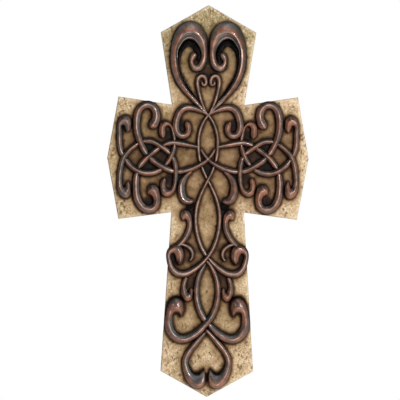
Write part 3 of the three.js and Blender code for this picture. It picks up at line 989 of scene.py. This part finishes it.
class Shader:
    """A material: its surface, and short ways to add and link nodes."""

    def __init__(self, name):
        self.material = bpy.data.materials.new(name)
        self.material.use_nodes = True
        self.tree = self.material.node_tree
        self.surface = self.tree.nodes["Principled BSDF"]
        coordinates = self.tree.nodes.new("ShaderNodeTexCoord")
        self.object_place = coordinates.outputs["Object"]

    def put(self, socket, value):
        if isinstance(value, bpy.types.NodeSocket):
            self.tree.links.new(value, socket)
        else:
            socket.default_value = value

    def give(self, name, value):
        self.put(self.surface.inputs[name], value)

    def attribute(self, name, output="Fac"):
        node = self.tree.nodes.new("ShaderNodeAttribute")
        node.attribute_name = name
        return node.outputs[output]

    def noise(self, scale, detail=4, rough=0.55, stretch=(1, 1, 1), turn=0.0):
        mapping = self.tree.nodes.new("ShaderNodeMapping")
        self.put(mapping.inputs["Vector"], self.object_place)
        mapping.inputs["Scale"].default_value = stretch
        mapping.inputs["Rotation"].default_value = (0, turn, 0)
        node = self.tree.nodes.new("ShaderNodeTexNoise")
        self.put(node.inputs["Vector"], mapping.outputs["Vector"])
        node.inputs["Scale"].default_value = scale
        node.inputs["Detail"].default_value = detail
        node.inputs["Roughness"].default_value = rough
        return node.outputs["Fac"]

    def place_along(self, axis):
        node = self.tree.nodes.new("ShaderNodeSeparateXYZ")
        self.put(node.inputs["Vector"], self.object_place)
        return node.outputs[axis]

    def math(self, operation, a, b=0.0, clamp=False):
        node = self.tree.nodes.new("ShaderNodeMath")
        node.operation = operation
        node.use_clamp = clamp
        self.put(node.inputs[0], a)
        self.put(node.inputs[1], b)
        return node.outputs["Value"]

    def span(self, value, low, high, start=0.0, end=1.0):
        node = self.tree.nodes.new("ShaderNodeMapRange")
        node.interpolation_type = "SMOOTHSTEP"
        self.put(node.inputs["Value"], value)
        node.inputs["From Min"].default_value = low
        node.inputs["From Max"].default_value = high
        node.inputs["To Min"].default_value = start
        node.inputs["To Max"].default_value = end
        return node.outputs["Result"]

    def mix(self, share, a, b, blend="MIX"):
        node = self.tree.nodes.new("ShaderNodeMix")
        node.data_type = "RGBA"
        node.blend_type = blend
        self.put(node.inputs["Factor"], share)
        self.put(node.inputs["A"], a if isinstance(a, bpy.types.NodeSocket) else (*a, 1))
        self.put(node.inputs["B"], b if isinstance(b, bpy.types.NodeSocket) else (*b, 1))
        return node.outputs["Result"]

    def bump(self, height, strength, distance):
        node = self.tree.nodes.new("ShaderNodeBump")
        node.inputs["Strength"].default_value = strength
        node.inputs["Distance"].default_value = distance
        self.put(node.inputs["Height"], height)
        self.give("Normal", node.outputs["Normal"])


def stone_material():
    shader = Shader("cast stone")
    broad = shader.noise(16, 5, 0.6)
    patch = shader.noise(120, 6, 0.66)
    grain = shader.noise(620, 3, 0.6)
    open_stone = shader.span(shader.attribute("wash_and_shade"), 0.3, 0.8, 0.3, 1.0)
    warm = shader.mix(shader.span(broad, 0.36, 0.64), STONE_TAN, STONE_WARM)
    # Paler and rosier towards the right: painted light, as the lamps fall more on that side
    side = shader.span(shader.place_along("X"), -0.1, 0.1, 0.0, 0.4)
    right = shader.mix(side, warm, STONE_ROSY_LIT)
    # Darker and olive towards the top: the stone's tone, with painted shade where the light falls off
    height = shader.span(shader.place_along("Z"), 0.065, 0.13, 0.0, 0.85)
    shaded_top = shader.mix(height, right, STONE_OLIVE_SHADED)
    pale = shader.mix(shader.span(patch, 0.5, 0.72), shaded_top, STONE_PALE)
    dull = shader.mix(shader.span(patch, 0.5, 0.3), pale, STONE_DULL)
    bright = shader.math("MULTIPLY", shader.span(grain, 0.5, 0.66, 0.0, 0.5), open_stone)
    lit = shader.mix(bright, dull, STONE_BRIGHT)
    brown = shader.math("MULTIPLY", shader.span(grain, 0.5, 0.34, 0.0, 0.6), open_stone)
    stone = shader.mix(brown, lit, STONE_BROWN)
    worn = shader.mix(shader.math("MULTIPLY", shader.attribute("edge"), 0.4), stone, STONE_EDGE)

    # Dark veins at a slant, in patches on the open stone, and dark pits
    veins = shader.noise(420, 4, 0.6, (1.0, 1.0, 0.4), 0.6)
    patches = shader.noise(34, 3, 0.5)
    marks = shader.math("MULTIPLY", shader.span(veins, 0.57, 0.62), shader.span(patches, 0.4, 0.55))
    specks = shader.math("MULTIPLY", shader.attribute("pit"), 0.8)
    bare = shader.math("MULTIPLY", marks, shader.math("MULTIPLY", open_stone, 0.85))
    dark = shader.math("MAXIMUM", bare, specks)
    marked = shader.mix(dark, worn, STONE_MARK)

    # Brown wash and painted shade, thickest close to the strands: a dark contact line, a painted shadow to
    # their lower left and darker narrow pockets
    shaded = shader.mix(1.0, marked, shader.attribute("wash_and_shade", "Color"), "MULTIPLY")
    shader.give("Base Color", shaded)
    shader.give("Roughness", shader.span(grain, 0.3, 0.7, 0.72, 0.9))
    shader.give("Specular IOR Level", 0.2)
    shader.bump(shader.math("ADD", grain, patch), 0.35, 0.0005)
    return shader.material


def bronze_material():
    shader = Shader("bronze with patina and painted light")
    cloud = shader.noise(150, 4, 0.6)
    fleck = shader.noise(700, 3, 0.6)
    copper = shader.math("ADD", shader.attribute("copper"), shader.span(cloud, 0.3, 0.7, -0.3, 0.3), True)
    slate = shader.mix(shader.span(cloud, 0.35, 0.65), SLATE_DARK, SLATE_LIGHT)
    red = shader.mix(shader.span(cloud, 0.35, 0.65), RED_DARK, RED_LIGHT)
    # Orange on the bulbs' lower sides: copper on the bulbs with painted warm light from below
    clouded = shader.span(cloud, 0.3, 0.6, 0.3, 1.0)
    bright = shader.math("MULTIPLY", shader.attribute("orange"), clouded, True)
    # Slate mixed with red by the copper share, which on the strands is painted light by the way each slope
    # faces
    facet = shader.mix(copper, slate, shader.mix(bright, red, BRONZE_ORANGE))
    flecked = shader.span(fleck, 0.3, 0.65, 0.6, 1.2)
    worn_off = shader.math("MULTIPLY", flecked, shader.span(cloud, 0.35, 0.65, 0.5, 1.3))
    # Rubbed crests, with painted highlight where they face the lamps
    rub_and_highlight = shader.math("MULTIPLY", shader.attribute("light"), worn_off, True)
    rubbed_and_highlit = shader.mix(rub_and_highlight, facet, BRONZE_RUBBED_AND_HIGHLIT)
    # Black rims, tips, webs and crevices, with painted shade on slopes turned from the lamps
    dark = shader.math("ADD", shader.attribute("dark"), shader.span(fleck, 0.3, 0.7, -0.12, 0.12), True)
    aged_and_shaded = shader.mix(dark, rubbed_and_highlit, BRONZE_BLACK_AND_SHADE)
    shader.give("Base Color", aged_and_shaded)
    shader.give("Metallic", shader.span(dark, 0.1, 0.9, 0.2, 1.0))
    shader.give("Coat Weight", shader.span(dark, 0.3, 0.9, 0.4, 0.05))
    shader.give("Coat Roughness", 0.12)
    worn = shader.math("ADD", shader.span(fleck, 0.3, 0.7, 0.20, 0.32), shader.math("MULTIPLY", dark, 0.3))
    shader.give("Roughness", worn)
    shader.bump(shader.math("ADD", cloud, shader.math("MULTIPLY", fleck, 0.3)), 0.2, 0.0008)
    return shader.material


def soften(obj, degrees):
    obj.data.shade_smooth()
    obj.data.set_sharp_from_angle(angle=math.radians(degrees))


def settle(obj, node, material):
    obj.data.materials.clear()
    obj.data.materials.append(material)
    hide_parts(node)
    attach(obj, "root")


def pale_floor():
    """Floor, well below a cross that hangs on a wall."""
    corners = [
        (-FLOOR_REACH, FLOOR_BOTTOM), (-FLOOR_REACH, FLOOR_TOP),
        (FLOOR_REACH, FLOOR_TOP), (FLOOR_REACH, FLOOR_BOTTOM),
    ]
    floor = prism("floor", corners, FLOOR_BACK, -FLOOR_REACH)
    shader = Shader("pale floor")
    shader.give("Base Color", (0.8, 0.8, 0.8, 1))
    shader.give("Emission Color", (1, 1, 1, 1))
    shader.give("Emission Strength", 0.35)
    shader.give("Roughness", shader.span(shader.noise(6), 0.3, 0.7, 0.6, 0.75))
    floor.data.materials.append(shader.material)


def soft_light(name, place, size, power, colour=(1, 1, 1)):
    light = bpy.data.lights.new(name, "AREA")
    light.shape = "DISK"
    light.size = size
    light.energy = power
    light.color = colour
    obj = bpy.data.objects.new(name, light)
    obj.location = place
    obj.rotation_euler = (Vector(LIGHT_AIM) - obj.location).to_track_quat("-Z", "Y").to_euler()
    bpy.context.scene.collection.objects.link(obj)


def surround():
    """White surround for the camera, and a much weaker one for the light it gives."""
    world = bpy.data.worlds.new("surround")
    bpy.context.scene.world = world
    world.use_nodes = True
    nodes = world.node_tree.nodes
    links = world.node_tree.links
    seen = nodes.new("ShaderNodeBackground")
    seen.inputs["Color"].default_value = (1, 1, 1, 1)
    lit = nodes["Background"]
    lit.inputs["Color"].default_value = (0.95, 0.97, 1.0, 1)
    lit.inputs["Strength"].default_value = 0.15
    path = nodes.new("ShaderNodeLightPath")
    choose = nodes.new("ShaderNodeMixShader")
    links.new(path.outputs["Is Camera Ray"], choose.inputs["Fac"])
    links.new(lit.outputs["Background"], choose.inputs[1])
    links.new(seen.outputs["Background"], choose.inputs[2])
    links.new(choose.outputs["Shader"], nodes["World Output"].inputs["Surface"])


def photo_camera():
    data = bpy.data.cameras.new("camera")
    data.lens = LENS
    data.sensor_width = SENSOR_WIDTH
    camera = bpy.data.objects.new("camera", data)
    x, y, z = VIEW_CENTRE
    camera.location = (x, y - VIEW_WIDTH * LENS / SENSOR_WIDTH, z)
    camera.rotation_euler = (math.pi / 2, math.radians(VIEW_ROLL), 0)
    bpy.context.scene.collection.objects.link(camera)
    bpy.context.scene.camera = camera


scrollwork, strand_parts = cast_scrollwork()
front_maps = Front(strand_parts)
dress_casting(scrollwork, strand_parts, front_maps)
soften(scrollwork, CASTING_SHARP)
settle(scrollwork, "scrollwork", bronze_material())

board = carve_board(front_maps)
soften(board, BOARD_SHARP)
settle(board, "stone_backboard", stone_material())

pale_floor()
soft_light("key", (1.2, -1.6, 0.2), 0.8, 21)
soft_light("fill", (-1.2, -1.5, 0.7), 0.8, 6)
soft_light("spark", (0.8, -1.5, 0.7), 0.25, 20)
soft_light("top", (0.1, -0.9, 1.4), 1.0, 5, (0.95, 0.97, 1.0))
soft_light("low", (0.3, -1.3, -1.1), 0.8, 10, (1.0, 0.94, 0.88))
surround()
photo_camera()
bpy.context.scene.view_settings.view_transform = "Standard"
